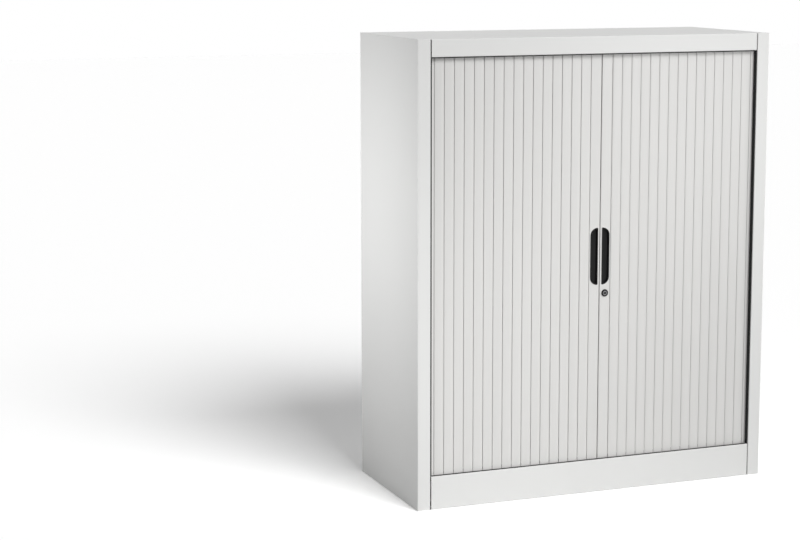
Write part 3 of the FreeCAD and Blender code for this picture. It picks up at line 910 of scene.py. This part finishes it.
add_piece("left_edge_strip", strip_mesh("left", -1.0), "case", "track_plastic", ["edge_guides"])
add_piece("right_edge_strip", strip_mesh("right", 1.0), "case", "track_plastic")
print("edge strips", round((guide_high.z - guide_low.z) / mm), "mm tall")

# %% [markdown]
# ## The lock
#
# The lock is a turned barrel with a flange proud of the slat, and a plug with a key slot that turns in it.
# Both are skins over rings about the lock's axis. The slot is cut with a Boolean, as the leading slat's holes
# were. The plug turns with the cam, so it rides on the lock's own body.

# %% Barrel and plug
flange_radius = (barrel_high.x - barrel_low.x) / 2
flange_proud = slat_face - barrel_low.y
plug_radius = (plug_high.x - plug_low.x) / 2
slot_length, slot_height, slot_depth = 9.0 * mm, 2.2 * mm, 6.0 * mm
barrel_radius, bore_play = 8.0 * mm, 0.05 * mm
lock_segments = 72


def barrel_mesh():
    """Flange, body and bore of the barrel. Distances run back from the flange's face."""
    front = flange_radius - 0.75 * mm
    bore, back = plug_radius + bore_play, barrel_high.y - barrel_low.y
    profile = [
        (bore, back), (barrel_radius, back), (barrel_radius, flange_proud), (flange_radius, flange_proud),
        (flange_radius, flange_proud - 0.3 * mm), (front + 0.12 * mm, 0.75 * mm),
        (front - 0.05 * mm, 0.35 * mm), (front - 0.3 * mm, 0.1 * mm), (front - 0.7 * mm, 0.0),
        (bore + 0.75 * mm, 0.0), (bore + 0.4 * mm, 0.08 * mm), (bore + 0.1 * mm, 0.35 * mm),
        (bore, 0.8 * mm), (bore, back),
    ]
    rings = turned(profile, lock_centre, lock_axis, lock_segments)
    return finished_mesh("lock_barrel_turned", skin_over(rings), smooth_below=35.0)


def plug_mesh():
    """Plug with a shallow ring in its face and a key slot."""
    face = plug_low.y - barrel_low.y
    back = plug_high.y - barrel_low.y
    r = plug_radius
    profile = [
        (0, face), (r - 1.5 * mm, face), (r - 1.35 * mm, face + 0.12 * mm), (r - 1.15 * mm, face + 0.12 * mm),
        (r - 1.0 * mm, face), (r - 0.35 * mm, face), (r - 0.1 * mm, face + 0.1 * mm), (r, face + 0.35 * mm),
        (r, back), (0, back),
    ]
    plug = blank("plug_blank", turned(profile, lock_centre, lock_axis, lock_segments))
    half, end = slot_length / 2, slot_height / 2
    outline = arc_points((half - end, 0), end, -90, 90, 8) + arc_points((end - half, 0), end, 90, 270, 8)
    slot = blank("key_slot", [
        [lock_centre + Vector((a, depth, up)) for a, up in outline]
        for depth in (face - past_face, face + slot_depth)
    ])
    return cut_away(plug, [slot], "lock_plug_turned", smooth_below=35.0)


add_piece("lock_barrel_turned", barrel_mesh(), "right_door", "lock_steel", ["lock_barrel"])
add_piece("lock_plug_turned", plug_mesh(), "lock", "plug_steel", ["lock_plug"])
print("lock at", [round(c / mm, 1) for c in lock_centre], "mm")

# %% [markdown]
# ## Levelling feet
#
# Each foot is a black pad on a zinc-plated stud that screws into a nut under the floor. The stud ends in a
# hexagon socket, because it is turned from inside the cabinet. Both pieces ride on the foot's own body.

# %% Pads and studs
pad_radius, pad_height = 15.0 * mm, 6.0 * mm
stud_radius, thread_depth, thread_pitch = 3.95 * mm, 0.55 * mm, 1.25 * mm
stud_sunk, stud_chamfer, stud_plain_end = 0.5 * mm, 0.4 * mm, 1.5 * mm
socket_flats, socket_depth = 3.4 * mm, 4.0 * mm
pad_segments, stud_segments = 48, 24
upwards = Vector((0, 0, 1))


def pad_mesh(name, foot):
    """A pad with a soft rim, a dished upper face and a collar round the stud."""
    r, h = pad_radius, pad_height
    profile = [
        (0, 0.0), (r - 1.2 * mm, 0.0), (r - 0.4 * mm, 0.25 * mm), (r, 0.9 * mm), (r, h - 2.4 * mm),
        (r - 0.3 * mm, h - 1.9 * mm), (r - 1.0 * mm, h - 1.6 * mm), (stud_radius + 3.2 * mm, h - 1.3 * mm),
        (stud_radius + 2.6 * mm, h - 0.3 * mm), (stud_radius + 2.0 * mm, h), (0, h),
    ]
    return finished_mesh(name, skin_over(turned(profile, foot, upwards, pad_segments)), smooth_below=35.0)


def stud_mesh(name, foot, height):
    """A threaded stud with a chamfer and a hexagon socket in its end."""
    crest, root = stud_radius, stud_radius - thread_depth
    profile = [(0, pad_height - stud_sunk), (root, pad_height - stud_sunk)]
    for i in range(int((height - pad_height - stud_plain_end) / thread_pitch)):
        base = pad_height + i * thread_pitch
        thread = ((root, 0.1), (crest, 0.45), (crest, 0.6), (root, 0.95))
        profile += [(radius, base + share * thread_pitch) for radius, share in thread]
    profile += [(root, height - stud_chamfer), (root - stud_chamfer, height)]
    rings = turned(profile, foot, upwards, stud_segments)
    for depth in (0.0, socket_depth):
        ring = []
        for i in range(stud_segments):
            angle = 2 * math.pi * i / stud_segments
            reach = socket_flats / 2 / math.cos((angle + math.pi / 6) % (math.pi / 3) - math.pi / 6)
            ring.append(foot + Vector((reach * math.cos(angle), reach * math.sin(angle), height - depth)))
        rings.append(ring)
    return finished_mesh(name, skin_over(rings), smooth_below=35.0)


for name in (n for n in nodes if n.endswith("_foot")):
    low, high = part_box(name)
    foot = Vector(((low.x + high.x) / 2, (low.y + high.y) / 2, low.z))
    add_piece(name + "_pad", pad_mesh(name + "_pad", foot), name, "foot_plastic", [name])
    add_piece(name + "_stud", stud_mesh(name + "_stud", foot, high.z - low.z), name, "zinc_steel")
print("feet", round((high.z - low.z) / mm), "mm tall, pads", round(2 * pad_radius / mm), "mm")

# %% [markdown]
# ## Floor and backdrop
#
# The photograph has a white studio floor without a horizon. The floor is a plain diffuse surface. For camera,
# glossy and transmission rays its colour is lifted, so that lit floor is white while the shadow still darkens
# it, and the light that it throws back on the cabinet stays at a plain level.

# %% Floor
floor_size = 40.0
floor_colour = (0.80, 0.80, 0.80, 1.0)
floor_lift = 2.5


def seen_directly(tree):
    """1 for a ray from the camera or through a reflection or glass, 0 for a ray that only carries light."""
    path = place(tree, "ShaderNodeLightPath").outputs
    seen = calc(tree, "MAXIMUM", path["Is Camera Ray"], path["Is Glossy Ray"])
    return calc(tree, "MAXIMUM", seen, path["Is Transmission Ray"])


def floor_finish():
    """Diffuse floor, lifted where it is looked at."""
    material = bpy.data.materials.new("studio_floor")
    material.use_nodes = True
    tree = material.node_tree
    tree.nodes.clear()
    lifted = tuple(floor_lift * c for c in floor_colour[:3]) + (1.0,)
    colour = blend_colour(tree, seen_directly(tree), floor_colour, lifted)
    diffuse = place(tree, "ShaderNodeBsdfDiffuse", {"Color": colour})
    place(tree, "ShaderNodeOutputMaterial", {"Surface": diffuse.outputs[0]})
    return material


half = floor_size / 2
corners = [(-half, -half, 0), (half, -half, 0), (half, half, 0), (-half, half, 0)]
floor_mesh = bpy.data.meshes.new("studio_floor")
floor_mesh.from_pydata(corners, [], [(0, 1, 2, 3)])
floor_mesh.materials.append(floor_finish())
floor = add_object("studio_floor", floor_mesh)

# %% World
horizon_level = 0.55
zenith_level = 0.12
horizon_band = (0.15, 0.75)
left_share = 0.30
left_band = (-0.75, 0.10)


def studio_world():
    """White where it is seen. As light it is a band round the horizon, dimmer above and to the left."""
    world = bpy.data.worlds.new("studio")
    world.use_nodes = True
    tree = world.node_tree
    tree.nodes.clear()
    direction = place(tree, "ShaderNodeTexCoord").outputs["Generated"]
    split = place(tree, "ShaderNodeSeparateXYZ", {"Vector": direction}).outputs
    ceiling = place(tree, "ShaderNodeMapRange", {
        "Value": split["Z"], "From Min": horizon_band[0], "From Max": horizon_band[1],
        "To Min": horizon_level, "To Max": zenith_level,
    }, interpolation_type="SMOOTHSTEP").outputs[0]
    to_the_left = place(tree, "ShaderNodeMapRange", {
        "Value": split["X"], "From Min": left_band[0], "From Max": left_band[1],
        "To Min": left_share, "To Max": 1.0,
    }, interpolation_type="SMOOTHSTEP").outputs[0]
    level = calc(tree, "MULTIPLY", ceiling, to_the_left)
    grey = place(tree, "ShaderNodeCombineColor", {"Red": level, "Green": level, "Blue": level}).outputs[0]
    sky = blend_colour(tree, seen_directly(tree), grey, (1.0, 1.0, 1.0, 1.0))
    shine = place(tree, "ShaderNodeBackground", {"Color": sky, "Strength": 1.0})
    place(tree, "ShaderNodeOutputWorld", {"Surface": shine.outputs[0]})
    return world


bpy.context.scene.world = studio_world()

# %% [markdown]
# ## Lamps
#
# One broad light from the front, a little to the right, throws a soft shadow back past the left side. A second
# sun further to the right brightens what faces it on the cabinet, and a weak one straight above falls on the
# floor alone. Three softboxes near the cabinet even out its side and its front. The lamps that only shape the
# cabinet leave the floor out, so that the main light's shadow stays clear.

# %% Suns
key = {"level": 0.42, "azimuth": 13.5, "elevation": 42.0, "spread": 32.0}
right_key = {"level": 0.25, "azimuth": 55.0, "elevation": 35.0, "spread": 20.0}
floor_top_light = {"level": 0.05, "azimuth": 0.0, "elevation": 90.0, "spread": 20.0}


def sun_lamp(name, level, azimuth, elevation, spread):
    """A soft sun. Azimuth runs from in front to the right, and level is what a white face towards it shows."""
    data = bpy.data.lights.new(name, "SUN")
    data.energy = level * math.pi
    data.angle = math.radians(spread)
    turn, rise = math.radians(azimuth), math.radians(elevation)
    towards = Vector((math.sin(turn) * math.cos(rise), -math.cos(turn) * math.cos(rise), math.sin(rise)))
    lamp = add_object(name, data)
    lamp.rotation_euler = towards.to_track_quat("Z", "Y").to_euler()
    return lamp


kept_off_floor = bpy.data.collections.new("kept_off_floor")
kept_off_floor.objects.link(floor)
kept_off_floor.collection_objects[0].light_linking.link_state = "EXCLUDE"
floor_alone = bpy.data.collections.new("floor_alone")
floor_alone.objects.link(floor)
sun_lamp("key", **key)
sun_lamp("right_key", **right_key).light_linking.receiver_collection = kept_off_floor
sun_lamp("floor_top_light", **floor_top_light).light_linking.receiver_collection = floor_alone

# %% Fill lights
softbox_size = 0.6
fills = {
    "side_fill": {"level": 0.87, "at": (-1.95, 0.20, 0.80), "aim": (-0.5, 0.12, 0.78), "spread": 72},
    "low_left_fill": {"level": 0.26, "at": (-0.75, -1.9, 0.45), "aim": (-0.35, -0.2, 0.45), "spread": 52},
    "high_right_fill": {"level": 0.27, "at": (0.75, -1.9, 1.20), "aim": (0.35, -0.2, 0.98), "spread": 52},
}


def fill_lamp(name, level, at, aim, spread):
    """A softbox with a grid, near the cabinet. A narrower grid gathers the light, so its power comes down."""
    at, aim = Vector(at), Vector(aim)
    data = bpy.data.lights.new(name, "AREA")
    data.size = softbox_size
    data.spread = math.radians(spread)
    half = data.spread / 2
    gathered = math.tan(half) / (math.tan(half) - half)
    data.energy = level * (math.pi * (at - aim).length) ** 2 / gathered
    lamp = add_object(name, data)
    lamp.location = at
    lamp.rotation_euler = (at - aim).to_track_quat("Z", "Y").to_euler()
    lamp.visible_camera = False
    lamp.light_linking.receiver_collection = kept_off_floor


for fill_name, settings in fills.items():
    fill_lamp(fill_name, **settings)
print("lamps", [lamp.name for lamp in bpy.data.lights])
